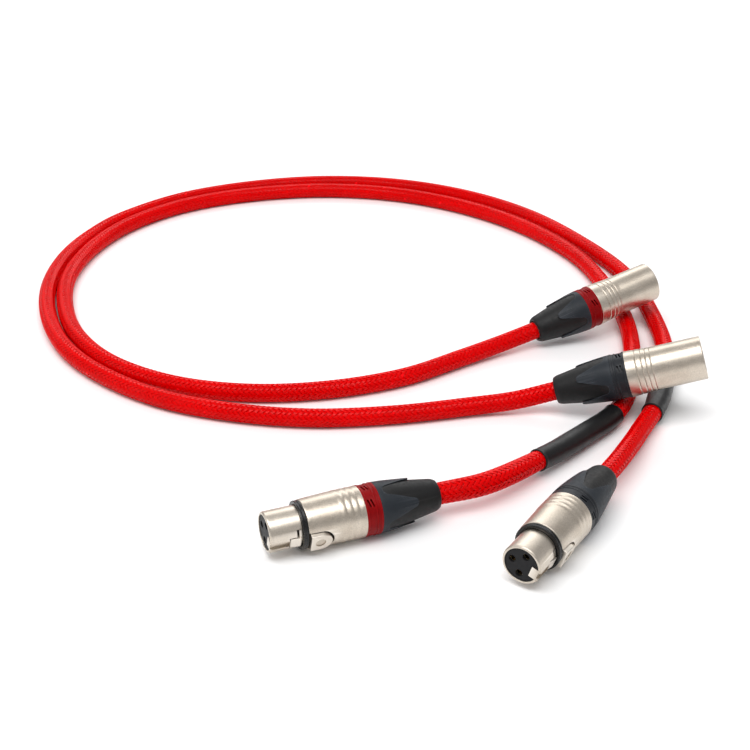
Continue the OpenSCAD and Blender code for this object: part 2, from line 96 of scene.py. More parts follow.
# Latch
LATCH_W = 4.4
LATCH_BOTTOM = 5.9
BUTTON_W = 8.0
BUTTON_START = 15.7
BUTTON_ARC_X = 20.3
BUTTON_TOP = 10.5
BAR_W = 9.4
BAR_START = 11.9
BAR_END = 13.0
BAR_GAP = 0.9
HOOK_START = 8.4
HOOK_END = 12.4
HOOK_TOP = 8.15
LATCH_NECK_TOP = 7
BAR_R = 7.8
BAR_BOTTOM = 5.2
BUTTON_EDGE = 0.35
BUTTON_SLOT_SHIFT = 0.5
RECESS_X = BUTTON_ARC_X - 0.8
RECESS_R = 2
RECESS_DEPTH = 0.4
PIVOT_X = 22.3
PIVOT_Z = 7.0
PIVOT_R = 0.78
PIVOT_HALF_LEN = 6
SLOT_GAP = 0.35
# Beyond anything on a connector, for cutters that go right through its wall
OUTSIDE = 12
GASKET_START = 13.2
GASKET_END = 15.3

# Male shell
FLARE_START = 20
GROOVE_PLACES = (22, 24, 26, 28.5)
GROOVE_HALF_W = 0.36
GROOVE_DEPTH = 0.24
MALE_BORE_END = 27.5
MALE_KEY_START = 2.6
MALE_KEY_END = 15
WINDOW_START = 1.3
WINDOW_END = 4.2
WINDOW_R = 8.9
WINDOW_INNER_Y = 1.2
WINDOW_OUTER_Y = 4.5

# Coding ring: pairs of slanted slots, and the angle of the first pair on each connector
BAND_DEPTH = 0.25
SLOT_PLACES = (1.8, 3.1)
SLOT_PAIRS = 5
SLOT_TURN = 45
SLOT_SLANT = 12
SLOT_R = 0.38
SLOT_HALF_LEN = 1.3
FIRST_SLOT = {"red_female": -245, "black_female": -76, "red_male": -140, "black_male": -134}

# Bushing and boot, from the start of the coding ring
BUSHING_START = -5
TAIL_KNEE = 11.5
TONGUE_END = 22.0
TONGUE_PROUD = 0.75
TONGUE_TURNS = range(0, 360, 90)
INLAY_START = 8.7
INLAY_APEX_R = 2.4
INLAY_HALF_W = 4.75
INLAY_ROUND = 2.2
BOOT_BORE_R = 4.35
BOOT_HOLLOW_END = 18.5

# Routes of the two cables between the connectors' rear rims
HOME = np.array((-1.4, -1.3, 0.0))
FLOOR_Z = 4.3
ROUTES = {
    "red": [
        (78, -18, 5.6), (58, -31, 4.5), (30, -50, FLOOR_Z), (-4, -62, FLOOR_Z),
        (-40, -65, FLOOR_Z), (-75, -57, FLOOR_Z), (-106, -37, FLOOR_Z), (-128, -8, FLOOR_Z),
        (-141, 27, FLOOR_Z), (-146, 65, FLOOR_Z), (-140, 105, FLOOR_Z), (-124, 140, FLOOR_Z),
        (-96, 169, FLOOR_Z), (-58, 187, FLOOR_Z), (-14, 194, FLOOR_Z), (30, 187, FLOOR_Z),
        (70, 166, FLOOR_Z), (103, 134, FLOOR_Z), (127, 93, FLOOR_Z), (138, 50, FLOOR_Z),
        (142, 8, FLOOR_Z), (138, -35, FLOOR_Z), (126, -79, 5.2), (104, -107, 5.5),
        (84, -128, 7), (62, -149, 9.6),
    ],
    "black": [
        (79, -75.5, 6.1), (59, -78, 4.5), (26, -85, FLOOR_Z), (-10, -88, FLOOR_Z),
        (-45, -83, FLOOR_Z), (-78, -71, FLOOR_Z), (-107, -50, FLOOR_Z), (-130, -23, FLOOR_Z),
        (-146, 12, FLOOR_Z), (-154, 50, FLOOR_Z), (-153, 88, FLOOR_Z), (-144, 121, FLOOR_Z),
        (-129, 149, FLOOR_Z), (-98, 180, FLOOR_Z), (-56, 200, FLOOR_Z), (-12, 208, FLOOR_Z),
        (33, 202, FLOOR_Z), (74, 182, FLOOR_Z), (108, 150, FLOOR_Z), (134, 107, FLOOR_Z),
        (151, 64, FLOOR_Z), (156, 18, 4.7), (155, -28, 5.2), (145, -70, 5.2),
        (130, -103, 6), (118, -129, 9.2),
    ],
}
# Heat-shrink bands, as stretches of each route counted in route points
SHRINK_SPANS = {"red": (23.23, 25.0), "black": (23.1, 24.45)}
# How far a cable runs on inside each boot
TUCK = 1.5

# Braid: two sets of twelve ribbons, each over two and under two
RIBBONS = 12
LEAD = 29.0
RIBBON_W = 1.40
RIBBON_R = 3.83
RIBBON_SWAY = 0.17
RIBBONS_IN_PIECE = 6
STEPS_PER_FLOAT = 8
JACKET_R = 3.45

# Heat-shrink bands: outside and inside radius, and how far each end's lip reaches
SHRINK_R = 4.74
SHRINK_BORE_R = 4.16
SHRINK_LIP = 0.9

CAMERA_PLACE = (0.0156, -0.6213, 0.3084)
CAMERA_PITCH_DOWN = 28
LENS = 67.2


# ---------------------------------------------------------------- camera

def make_camera():
    data = bpy.data.cameras.new("camera")
    data.sensor_width = 36.0
    data.lens = LENS
    data.clip_start = 0.01
    camera = bpy.data.objects.new("camera", data)
    camera.location = CAMERA_PLACE
    camera.rotation_euler = (math.radians(90 - CAMERA_PITCH_DOWN), 0, 0)
    bpy.context.collection.objects.link(camera)
    bpy.context.scene.camera = camera


# ---------------------------------------------------------------- meshes

def faced_outwards(mesh):
    shape = bmesh.new()
    shape.from_mesh(mesh)
    bmesh.ops.recalc_face_normals(shape, faces=shape.faces)
    shape.to_mesh(mesh)
    shape.free()
    return mesh


def new_object(name, mesh):
    piece = bpy.data.objects.new(name, mesh)
    bpy.context.collection.objects.link(piece)
    return piece


def mesh_of(name, points, quads, caps=()):
    """Mesh from an array of points, an array of quads and equal-sided end caps."""
    quads = np.asarray(quads, dtype=np.int32).reshape(-1, 4)
    caps = np.asarray(caps, dtype=np.int32)
    mesh = bpy.data.meshes.new(name)
    mesh.vertices.add(len(points))
    mesh.vertices.foreach_set("co", np.asarray(points, dtype=np.float32).ravel())
    corners = np.concatenate([quads.ravel(), caps.ravel()])
    starts = np.arange(len(quads)) * 4
    if len(caps):
        starts = np.concatenate([starts, len(quads) * 4 + np.arange(len(caps)) * caps.shape[1]])
    mesh.loops.add(len(corners))
    mesh.loops.foreach_set("vertex_index", corners)
    mesh.polygons.add(len(starts))
    mesh.polygons.foreach_set("loop_start", starts.astype(np.int32))
    mesh.update(calc_edges=True)
    mesh.shade_smooth()
    return mesh


def grid_quads(rows, sides, wrap_rows=False):
    """Quads of a tube: rows of points with the given number of sides."""
    count = rows if wrap_rows else rows - 1
    i, k = np.meshgrid(np.arange(count), np.arange(sides), indexing="ij")
    after_i = (i + 1) % rows
    after_k = (k + 1) % sides
    quads = [i * sides + k, after_i * sides + k, after_i * sides + after_k, i * sides + after_k]
    return np.stack(quads, axis=-1).reshape(-1, 4)


def rounded(outline, steps=4):
    """Closed outline whose corners (x, y, fillet) are rounded off by their fillet."""
    corners = [(np.array(p[:2], float), p[2] if len(p) > 2 else 0.0) for p in outline]
    result = []
    for i, (here, fillet) in enumerate(corners):
        before = corners[i - 1][0] - here
        after = corners[(i + 1) % len(corners)][0] - here
        reach = min(fillet, 0.45 * np.linalg.norm(before), 0.45 * np.linalg.norm(after))
        if reach <= 0:
            result.append(here)
            continue
        first = here + before / np.linalg.norm(before) * reach
        last = here + after / np.linalg.norm(after) * reach
        for t in np.linspace(0, 1, steps + 1):
            result.append((1 - t) ** 2 * first + 2 * t * (1 - t) * here + t ** 2 * last)
    return np.array(result)


def turned(name, outline, sides=144):
    """Closed outline of (x, radius, fillet) corners, turned about the X axis."""
    line = rounded(outline)
    angle = np.arange(sides) * 2 * math.pi / sides
    x = np.repeat(line[:, :1], sides, axis=1)
    y = line[:, 1:] * np.sin(angle)
    z = line[:, 1:] * np.cos(angle)
    points = np.stack([x, y, z], axis=-1).reshape(-1, 3)
    mesh = mesh_of(name, points, grid_quads(len(line), sides, True))
    return new_object(name, faced_outwards(mesh))


def prism(outline, low, high, turn=0.0):
    """Solid with an outline in X and Y, from one height to another, turned about the X axis."""
    outline = np.asarray(outline, float)
    n = len(outline)
    points = [(x, y, z) for z in (low, high) for x, y in outline]
    sides = [(k, (k + 1) % n, n + (k + 1) % n, n + k) for k in range(n)]
    mesh = bpy.data.meshes.new("prism")
    mesh.from_pydata(points, [], sides + [tuple(range(n - 1, -1, -1)), tuple(range(n, 2 * n))])
    mesh.transform(Matrix.Rotation(math.radians(turn), 4, "X"))
    return new_object("prism", faced_outwards(mesh))


def block(low, high):
    outline = [(low[0], low[1]), (high[0], low[1]), (high[0], high[1]), (low[0], high[1])]
    return prism(outline, low[2], high[2])


def settle(piece):
    """Replaces a piece's mesh by the result of its modifiers."""
    graph = bpy.context.evaluated_depsgraph_get()
    mesh = bpy.data.meshes.new_from_object(piece.evaluated_get(graph))
    piece.modifiers.clear()
    piece.data = mesh


def join(piece, other, operation="DIFFERENCE"):
    modifier = piece.modifiers.new("boolean", "BOOLEAN")
    modifier.operation = operation
    modifier.solver = "EXACT"
    modifier.object = other
    settle(piece)
    bpy.data.objects.remove(other, do_unlink=True)
    return piece


def soften(piece, width, limit=40):
    """Rounds the sharp edges off."""
    modifier = piece.modifiers.new("bevel", "BEVEL")
    modifier.width = width
    modifier.segments = 2
    modifier.limit_method = "ANGLE"
    modifier.angle_limit = math.radians(limit)
    modifier.use_clamp_overlap = False
    settle(piece)
    return piece


def smooth(piece, limit=35):
    """Shades a piece smoothly over its broad faces and keeps its corners crisp."""
    piece.data.shade_smooth()
    piece.data.set_sharp_from_angle(angle=math.radians(limit))
    modifier = piece.modifiers.new("normals", "WEIGHTED_NORMAL")
    modifier.keep_sharp = True
    settle(piece)
    return piece


# ---------------------------------------------------------------- materials

class Nodes:
    """Short forms for the nodes of one material."""

    def __init__(self, name):
        self.material = bpy.data.materials.new(name)
        self.material.use_nodes = True
        self.tree = self.material.node_tree
        self.shader = self.tree.nodes["Principled BSDF"]
        self.place = self.add("ShaderNodeTexCoord").outputs["Object"]

    def add(self, kind, **values):
        node = self.tree.nodes.new(kind)
        for key, value in values.items():
            setattr(node, key, value)
        return node

    def link(self, start, end):
        self.tree.links.new(start, end)

    def noise(self, size, detail=2.0):
        """Noise whose features are about the given size in millimetres."""
        node = self.add("ShaderNodeTexNoise")
        node.inputs["Scale"].default_value = 1 / (size * MM)
        node.inputs["Detail"].default_value = detail
        self.link(self.place, node.inputs["Vector"])
        return node.outputs["Fac"]

    def span(self, value, low, high, start=0.3, end=0.7):
        """Carries a value from one range to another."""
        node = self.add("ShaderNodeMapRange")
        node.inputs["From Min"].default_value = start
        node.inputs["From Max"].default_value = end
        node.inputs["To Min"].default_value = low
        node.inputs["To Max"].default_value = high
        self.link(value, node.inputs["Value"])
        return node.outputs["Result"]

    def mix(self, factor, first, second):
        """Colour between two others, each a colour or a socket."""
        node = self.add("ShaderNodeMix", data_type="RGBA")
        self.link(factor, node.inputs["Factor"])
        for socket, value in ((node.inputs[6], first), (node.inputs[7], second)):
            if isinstance(value, bpy.types.NodeSocket):
                self.link(value, socket)
            else:
                socket.default_value = (*value, 1.0)
        return node.outputs[2]

    def edges(self, start=0.505, end=0.56):
        """How far a point is on a convex edge."""
        geometry = self.add("ShaderNodeNewGeometry")
        return self.span(geometry.outputs["Pointiness"], 0.0, 1.0, start, end)

    def bump(self, height, depth, strength=1.0, under=None):
        node = self.add("ShaderNodeBump")
        node.inputs["Strength"].default_value = strength
        node.inputs["Distance"].default_value = depth * MM
        self.link(height, node.inputs["Height"])
        if under is not None:
            self.link(under, node.inputs["Normal"])
        return node.outputs["Normal"]

    def finish(self, colour, roughness, normal, **constants):
        self.link(colour, self.shader.inputs["Base Color"])
        self.link(roughness, self.shader.inputs["Roughness"])
        self.link(normal, self.shader.inputs["Normal"])
        for name, value in constants.items():
            self.shader.inputs[name.replace("_", " ")].default_value = value
        return self.material


def metal(name, dark, light, edge, rough, grain=0.22, depth=0.004):
    """Satin plated metal: fine blasted grain, soft stains and painted highlights on convex edges.
    """
    n = Nodes(name)
    colour = n.mix(n.span(n.noise(6.0, 3.0), 0, 1), dark, light)
    fine = n.noise(grain, 3.0)
    colour = n.mix(n.span(fine, 0.42, 0), colour, [0.5 * value for value in dark])
    # painted highlight: convex edges are lightened towards the edge colour
    colour = n.mix(n.edges(), colour, edge)
    roughness = n.span(n.noise(0.5, 4.0), rough[0], rough[1])
    normal = n.bump(fine, depth, 0.5, n.bump(n.noise(1.6, 2.0), 0.006, 0.2))
    return n.finish(colour, roughness, normal, Metallic=1.0)


def plastic(name, dark, light, edge, rough, grain, depth, **constants):
    """Moulded plastic or rubber: fine texture, faint mottling and lighter convex edges."""
    n = Nodes(name)
    colour = n.mix(n.span(n.noise(4.0, 4.0), 0, 1), dark, light)
    colour = n.mix(n.edges(), colour, edge)
    roughness = n.span(n.noise(1.2, 3.0), rough[0], rough[1])
    normal = n.bump(n.noise(grain, 2.0), depth, 0.7, n.bump(n.noise(2.5, 2.0), 0.03, 0.2))
    return n.finish(colour, roughness, normal, **constants)


def braid_material():
    """Glossy plastic filament: colour shifts from ribbon to ribbon and along each one, with painted
    highlights on the ribbons' crowns.
    """
    n = Nodes("braid_red")
    ribbon = n.mix(n.span(n.noise(1.1, 2.0), 0, 1), (0.54, 0.0, 0.0003), (0.86, 0.0, 0.0006))
    broad = n.mix(n.span(n.noise(24.0, 2.0), 0, 1), (0.66, 0.0, 0.0003), (0.82, 0.0, 0.0006))
    colour = n.add("ShaderNodeMix", data_type="RGBA")
    colour.inputs["Factor"].default_value = 0.5
    n.link(ribbon, colour.inputs[6])
    n.link(broad, colour.inputs[7])
    # painted highlight: the ribbons' convex crowns are lightened to a bright red
    colour_with_painted_crown_highlights = n.mix(n.edges(0.51, 0.60), colour.outputs[2], (1.0, 0.004, 0.008))
    roughness = n.span(n.noise(0.4, 2.0), 0.12, 0.24)
    normal = n.bump(n.noise(0.15, 2.0), 0.02, 0.5)
    return n.finish(colour_with_painted_crown_highlights, roughness, normal, Specular_IOR_Level=0.09)


def make_materials():
    return {
        "sleeve": braid_material(),
        # metals: the third colour is the painted highlight on convex edges
        "nickel_shell": metal(
            "nickel", (0.60, 0.525, 0.435), (0.70, 0.625, 0.53), (0.80, 0.74, 0.66), (0.30, 0.42),
            0.5, 0.02),
        "spring_steel": metal(
            "spring_steel", (0.50, 0.49, 0.47), (0.62, 0.61, 0.59), (0.8, 0.8, 0.78), (0.2, 0.35)),
        "contact_gold": metal(
            "contact_gold", (0.74, 0.52, 0.20), (0.86, 0.66, 0.30), (0.95, 0.8, 0.5), (0.15, 0.3)),
        "heat_shrink": plastic(
            "heat_shrink", (0.004, 0.004, 0.0045), (0.007, 0.007, 0.0075), (0.014, 0.014, 0.0145),
            (0.34, 0.46), 0.35, 0.02, Specular_IOR_Level=0.3),
        "gasket_rubber": plastic(
            "gasket_rubber", (0.003, 0.003, 0.0033), (0.005, 0.005, 0.0053), (0.010, 0.010, 0.0105),
            (0.24, 0.34), 0.3, 0.006, Specular_IOR_Level=0.4),
        "bushing_plastic": plastic(
            "bushing_plastic", (0.013, 0.017, 0.022), (0.017, 0.021, 0.027),
            (0.040, 0.046, 0.055), (0.42, 0.54), 0.22, 0.012, Specular_IOR_Level=0.25),
        "boot_rubber": plastic(
            "boot_rubber", (0.003, 0.003, 0.0032), (0.005, 0.005, 0.0053), (0.010, 0.010, 0.0105),
            (0.44, 0.58), 0.3, 0.04, Specular_IOR_Level=0.3),
        "coding_red": plastic(
            "coding_red", (0.19, 0.0, 0.001), (0.25, 0.0, 0.001), (0.34, 0.003, 0.005),
            (0.36, 0.48), 0.22, 0.01, Specular_IOR_Level=0.12),
        "coding_black": plastic(
            "coding_black", (0.008, 0.010, 0.013), (0.011, 0.013, 0.017), (0.024, 0.027, 0.032),
            (0.38, 0.5), 0.22, 0.01, Specular_IOR_Level=0.3),
        "contact_carrier": plastic(
            "contact_carrier", (0.003, 0.003, 0.0035), (0.005, 0.005, 0.0055),
            (0.010, 0.010, 0.011), (0.45, 0.6), 0.2, 0.012, Specular_IOR_Level=0.2),
        "jacket_in_braid": plastic(
            "jacket_in_braid", (0.05, 0.003, 0.004), (0.08, 0.004, 0.006), (0.08, 0.004, 0.006),
            (0.5, 0.65), 0.3, 0.01, Specular_IOR_Level=0.1),
        "cable_jacket": plastic(
            "cable_jacket", (0.030, 0.028, 0.029), (0.050, 0.046, 0.048), (0.06, 0.06, 0.06),
            (0.5, 0.65), 0.3, 0.01),
        "chuck_plastic": plastic(
            "chuck_plastic", (0.62, 0.62, 0.60), (0.70, 0.70, 0.68), (0.8, 0.8, 0.78),
            (0.4, 0.55), 0.2, 0.01),
        "wire_insulation": plastic(
            "wire_insulation", (0.50, 0.02, 0.02), (0.60, 0.03, 0.03), (0.7, 0.05, 0.05),
            (0.35, 0.5), 0.2, 0.008),
    }


def paint(piece, material):
    piece.data.materials.clear()
    piece.data.materials.append(material)


def paint_cad_nodes():
    """Gives every CAD node the material of its slot in the record."""
    slots = {row["node"]: row["material_slot"] for row in frame["record"]["subparts"]}
    for node, piece in frame["nodes"].items():
        material = MATERIALS[slots[node]]
        for place in piece.material_slots:
            place.material = material


# ---------------------------------------------------------------- placing

def connector_matrix(name):
    """Turns a connector's own millimetres into the row's metres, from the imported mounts."""
    shaft, reach = ("nose", 4.3) if name.endswith("female") else ("barrel", 10.2)
    mount = MOUNTS[f"{name}_{shaft}"]
    along = -Vector(mount["axis"])
    mouth = Vector(mount["pos_m"]) - along * reach * MM
    contact = Vector(MOUNTS[f"{name}_contact_3"]["pos_m"]) - mouth
    up = (along * contact.dot(along) - contact).normalized()
    across = up.cross(along)
    turn = Matrix((along, across, up)).transposed().to_4x4()
    return Matrix.Translation(mouth) @ turn @ Matrix.Scale(MM, 4)


def put(master, name, connector, slot, body="root"):
    """Copies a master piece into place on a connector, where it stands for its CAD node."""
    piece = new_object(name, master.data.copy())
    piece.data.transform(connector_matrix(connector))
    piece.data.update()
    paint(piece, MATERIALS[slot])
    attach(piece, body)
    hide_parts(name)
    return piece


# ---------------------------------------------------------------- cables

class Path:
    """Smooth curve through points, measured along its length in millimetres."""

    STEPS = 60

    def __init__(self, points, first_heading, last_heading):
        ends = [2 * points[0] - points[1]], [2 * points[-1] - points[-2]]
        p = np.vstack([ends[0], points, ends[1]])
        t = (np.arange(self.STEPS) / self.STEPS)[:, None]
        stretches = [
            0.5 * (2 * b + (c - a) * t + (2 * a - 5 * b + 4 * c - d) * t ** 2
                   + (3 * b - a - 3 * c + d) * t ** 3)
            for a, b, c, d in zip(p[:-3], p[1:-2], p[2:-1], p[3:])
        ]
        before = points[0] - TUCK * first_heading
        after = points[-1] + TUCK * last_heading
        self.points = np.vstack([[before], *stretches, [points[-1]], [after]])
        steps = np.linalg.norm(np.diff(self.points, axis=0), axis=1)
        self.marks = np.concatenate([[0], np.cumsum(steps)]) - TUCK
        self.end = self.marks[-2]

    def at_point(self, count):
        """Distance along the path of a place counted in route points."""
        return np.interp(count * self.STEPS + 1, np.arange(len(self.marks)), self.marks)

    def position(self, distance):
        return np.stack(
            [np.interp(distance, self.marks, self.points[:, k]) for k in range(3)], axis=-1)

    def frames(self, distance):
        """Position, sideways and upwards directions at each distance."""
        reach = 2.0
        ahead = self.position(distance + reach) - self.position(distance - reach)
        across = np.cross(ahead, (0, 0, 1))
        across /= np.linalg.norm(across, axis=-1, keepdims=True)
        up = np.cross(across, ahead)
        up /= np.linalg.norm(up, axis=-1, keepdims=True)
        return self.position(distance), across, up


def cable_path(colour):
    male = connector_matrix(f"{colour}_male")
    female = connector_matrix(f"{colour}_female")
    male_rim = male @ Vector((MALE_SHELL_LEN + CODING_LEN + BOOT_LEN, 0, 0)) / MM
    female_rim = female @ Vector((FEMALE_SHELL_LEN + CODING_LEN + BOOT_LEN, 0, 0)) / MM
    points = np.vstack([male_rim, HOME + np.array(ROUTES[colour]), female_rim])
    first_heading = np.array(male.col[0][:3]) / MM
    last_heading = -np.array(female.col[0][:3]) / MM
    return Path(points, first_heading, last_heading)


def around(path, distance, radius, sides):
    """Rings about a path, one for each distance and radius."""
    middle, across, up = path.frames(distance)
    angle = np.arange(sides) * 2 * math.pi / sides
    out = np.cos(angle)[:, None] * across[:, None] + np.sin(angle)[:, None] * up[:, None]
    return middle[:, None] + np.asarray(radius)[:, None, None] * out


def jacket(colour, path):
    """Cable jacket under the braid."""
    sides = 24
    distance = np.linspace(-TUCK, path.end + TUCK, 420)
    rings = around(path, distance, np.full(len(distance), JACKET_R), sides)
    last = (len(distance) - 1) * sides
    caps = [np.arange(sides)[::-1], last + np.arange(sides)]
    mesh = mesh_of(
        f"{colour}_jacket", rings.reshape(-1, 3) * MM, grid_quads(len(distance), sides), caps)
    return new_object(f"{colour}_jacket", mesh)


def fullness(colour, path, distance):
    """How far the braid stands off its usual radius: it puffs up ahead of the red female boot."""
    if colour != "red":
        return np.ones_like(distance)
    start = path.at_point(SHRINK_SPANS["red"][1])
    t = np.clip((distance - start) / (path.end - start), 0, 1)
    return 1 + 0.13 * np.sin(0.9 * math.pi * t) ** 0.6


def ribbon_section():
    """Section of a ribbon of three filaments: across it and outwards from its middle."""
    ridge = np.abs(np.sin(np.arange(7) * math.pi / 2))
    top = [(RIBBON_W * (k / 6 - 0.5), 0.02 + 0.15 * ridge[k]) for k in range(7)]
    return np.array(top + [(0.36 * RIBBON_W, -0.14), (-0.36 * RIBBON_W, -0.14)])


def ribbon(path, colour, turn, way):
    """Points of one ribbon: it winds one way and goes over two and under two of the others."""
    step = LEAD / 6 / STEPS_PER_FLOAT
    count = int((path.end + 2 * TUCK) / step)
    distance = np.linspace(-TUCK, path.end + TUCK, count)
    angle = 2 * math.pi * (turn / RIBBONS + way * distance / LEAD)
    column = angle / (math.pi / 12)
    wave = np.cos(2 * math.pi * (column - 0.5) / 4) * way
    sway = RIBBON_SWAY * np.tanh(2.2 * wave)
    radius = RIBBON_R * fullness(colour, path, distance) + sway
    middle, across, up = path.frames(distance)
    out = np.cos(angle)[:, None] * across + np.sin(angle)[:, None] * up
    line = middle + radius[:, None] * out
    ahead = np.gradient(line, axis=0)
    ahead /= np.linalg.norm(ahead, axis=1, keepdims=True)
    sideways = np.cross(ahead, out)
    sideways /= np.linalg.norm(sideways, axis=1, keepdims=True)
    outwards = np.cross(sideways, ahead)
    section = ribbon_section()
    return (line[:, None] + section[None, :, :1] * sideways[:, None]
            + section[None, :, 1:] * outwards[:, None])


def braid_piece(name, colour, path, ribbons):
    points, quads, caps, first = [], [], [], 0
    for turn, way in ribbons:
        rings = ribbon(path, colour, turn, way)
        rows, sides = rings.shape[:2]
        points.append(rings.reshape(-1, 3))
        quads.append(grid_quads(rows, sides) + first)
        last = first + (rows - 1) * sides
        caps += [first + np.arange(sides)[::-1], last + np.arange(sides)]
        first += rows * sides
    mesh = mesh_of(name, np.vstack(points) * MM, np.vstack(quads), caps)
    return new_object(name, mesh)


def braid(colour, path):
    every = [(turn, way) for way in (1, -1) for turn in range(RIBBONS)]
    pieces = []
    for k in range(0, len(every), RIBBONS_IN_PIECE):
        name = f"{colour}_braid_{k // RIBBONS_IN_PIECE + 1}"
        piece = braid_piece(name, colour, path, every[k:k + RIBBONS_IN_PIECE])
        paint(piece, MATERIALS["sleeve"])
        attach(piece, "root")
        pieces.append(piece)
    return pieces


def heat_shrink(colour, path):
    """Shrunk band over the braid, a little uneven, with a rolled lip at each end."""
    sides = 64
    start, end = (path.at_point(count) for count in SHRINK_SPANS[colour])
    body = np.arange(start + SHRINK_LIP, end - SHRINK_LIP, 1.0)
    wander = 0.035 * np.sin(body * 0.31) + 0.025 * np.sin(body * 0.83 + 1)
    outside = [(d, SHRINK_R + w) for d, w in zip(body, wander)]
    first_lip = [(start, 4.3), (start - 0.05, 4.6), (start + 0.15, 4.86), (start + 0.5, 4.88)]
    last_lip = [(end - 0.5, 4.88), (end - 0.15, 4.86), (end + 0.05, 4.6), (end, 4.3)]
    inside = [(end - SHRINK_LIP, SHRINK_BORE_R), (start + SHRINK_LIP, SHRINK_BORE_R)]
    line = np.array(first_lip + outside + last_lip + inside)
    rings = around(path, line[:, 0], line[:, 1], sides)
    name = f"{colour}_heat_shrink"
    quads = grid_quads(len(line), sides, True)
    piece = new_object(name, mesh_of(name, rings.reshape(-1, 3) * MM, quads))
    paint(piece, MATERIALS["heat_shrink"])
    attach(piece, "root")
    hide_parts(name)
    return piece


def make_cable(colour, female_pieces):
    path = cable_path(colour)
    core = jacket(colour, path)
    paint(core, MATERIALS["jacket_in_braid"])
    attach(core, "root")
    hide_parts(f"{colour}_sleeve")
    on_it = braid(colour, path) + [heat_shrink(colour, path)] + female_pieces
    centreline = path.position(np.linspace(0, path.end, 500)) * MM


# ---------------------------------------------------------------- connector pieces

def button_outline(width, start, arc_x=BUTTON_ARC_X):
    """Button seen from outside: straight sides and a round rear end."""
    arc = [math.radians(a) for a in range(-90, 91, 6)]
    round_end = [(arc_x + width / 2 * math.cos(a), width / 2 * math.sin(a)) for a in arc]
    return [(start, -width / 2)] + round_end + [(start, width / 2)]


def female_shell():
    ribs = []
    for k in range(RIB_COUNT):
        x = RIB_START + RIB_PITCH * k
        ribs += [(x + 0.1, RIB_ROOT_R, 0.5), (x + 0.8, SHELL_R, 0.6), (x + 1.6, SHELL_R, 0.6),
                 (x + 2.3, RIB_ROOT_R, 0.5)]
    rear = FEMALE_SHELL_LEN
    piece = turned("female_shell_master", [
        (NOSE_START, NOSE_BORE_R, 0.15), (NOSE_START, 7.5, 0.25), (1.0, NOSE_R, 0.4),
        (GASKET_START, NOSE_R, 0.1), (GASKET_START, GASKET_SEAT_R), (GASKET_END, GASKET_SEAT_R),
        (GASKET_END, 9.45, 0.15), (GASKET_END + 0.25, 9.62, 0.15), (GASKET_END + 0.8, 9.66, 0.3),
        *ribs, (rear - 0.9, SHELL_R, 0.4), (rear, SHELL_R, 0.12), (rear, COLLAR_BORE_R),
        (FEMALE_BORE_END, COLLAR_BORE_R), (FEMALE_BORE_END, NOSE_BORE_R)])
    join(piece, block(*KEY_BLOCK), "UNION")
    join(piece, block(*KEYWAY))
    hook_half = LATCH_W / 2 + SLOT_GAP
    bar_half = BAR_W / 2 + SLOT_GAP
    join(piece, block(
        (HOOK_START - SLOT_GAP, -hook_half, 4), (GASKET_END + 0.5, hook_half, OUTSIDE)))
    join(piece, block((BAR_START - BAR_GAP, -bar_half, 2), (GASKET_START, bar_half, OUTSIDE)))
    button_slot = button_outline(
        BUTTON_W + 2 * SLOT_GAP, GASKET_END - 0.4, BUTTON_ARC_X + BUTTON_SLOT_SHIFT)
    join(piece, prism(button_slot, 2, OUTSIDE))
    return smooth(soften(piece, 0.09))


def female_gasket():
    return turned("gasket_master", [
        (GASKET_START + 0.02, 7.42), (GASKET_START + 0.02, 9.4, 0.3), (13.8, 9.5, 0.28),
        (14.25, 9.2, 0.2), (14.7, 9.5, 0.28), (GASKET_END - 0.02, 9.4, 0.3),
        (GASKET_END - 0.02, 7.42)])


def female_latch():
    arm_side = [
        (HOOK_START, LATCH_BOTTOM), (PIVOT_X, LATCH_BOTTOM), (PIVOT_X, LATCH_NECK_TOP),
        (HOOK_END, LATCH_NECK_TOP), (HOOK_END, HOOK_TOP), (HOOK_END - 1, HOOK_TOP),
        (HOOK_START, 7.6)]
    piece = prism([(x, -z) for x, z in arm_side], -LATCH_W / 2, LATCH_W / 2, turn=-90)
    bar = block((BAR_START, -BAR_W / 2, BAR_BOTTOM), (BAR_END, BAR_W / 2, 9))
    limit = turned("bar_limit", [(11, 1), (11, BAR_R), (14, BAR_R), (14, 1)])
    join(bar, limit, "INTERSECT")
    join(piece, bar, "UNION")
    button = prism(button_outline(BUTTON_W, BUTTON_START), LATCH_BOTTOM, BUTTON_TOP)
    join(piece, soften(button, BUTTON_EDGE), "UNION")
    recess = [(RECESS_X + RECESS_R * math.cos(a), RECESS_R * math.sin(a))
              for a in np.linspace(0, 2 * math.pi, 40, endpoint=False)]
    join(piece, prism(recess, BUTTON_TOP - RECESS_DEPTH, OUTSIDE))
    half = PIVOT_HALF_LEN
    pivot = turned("pivot", [(-half, 0.01), (-half, PIVOT_R), (half, PIVOT_R), (half, 0.01)], 32)
    pivot.data.transform(Matrix.Rotation(math.radians(90), 4, "Z"))
    pivot.data.transform(Matrix.Translation((PIVOT_X, 0, PIVOT_Z)))
    join(piece, pivot)
    return smooth(soften(piece, 0.06))


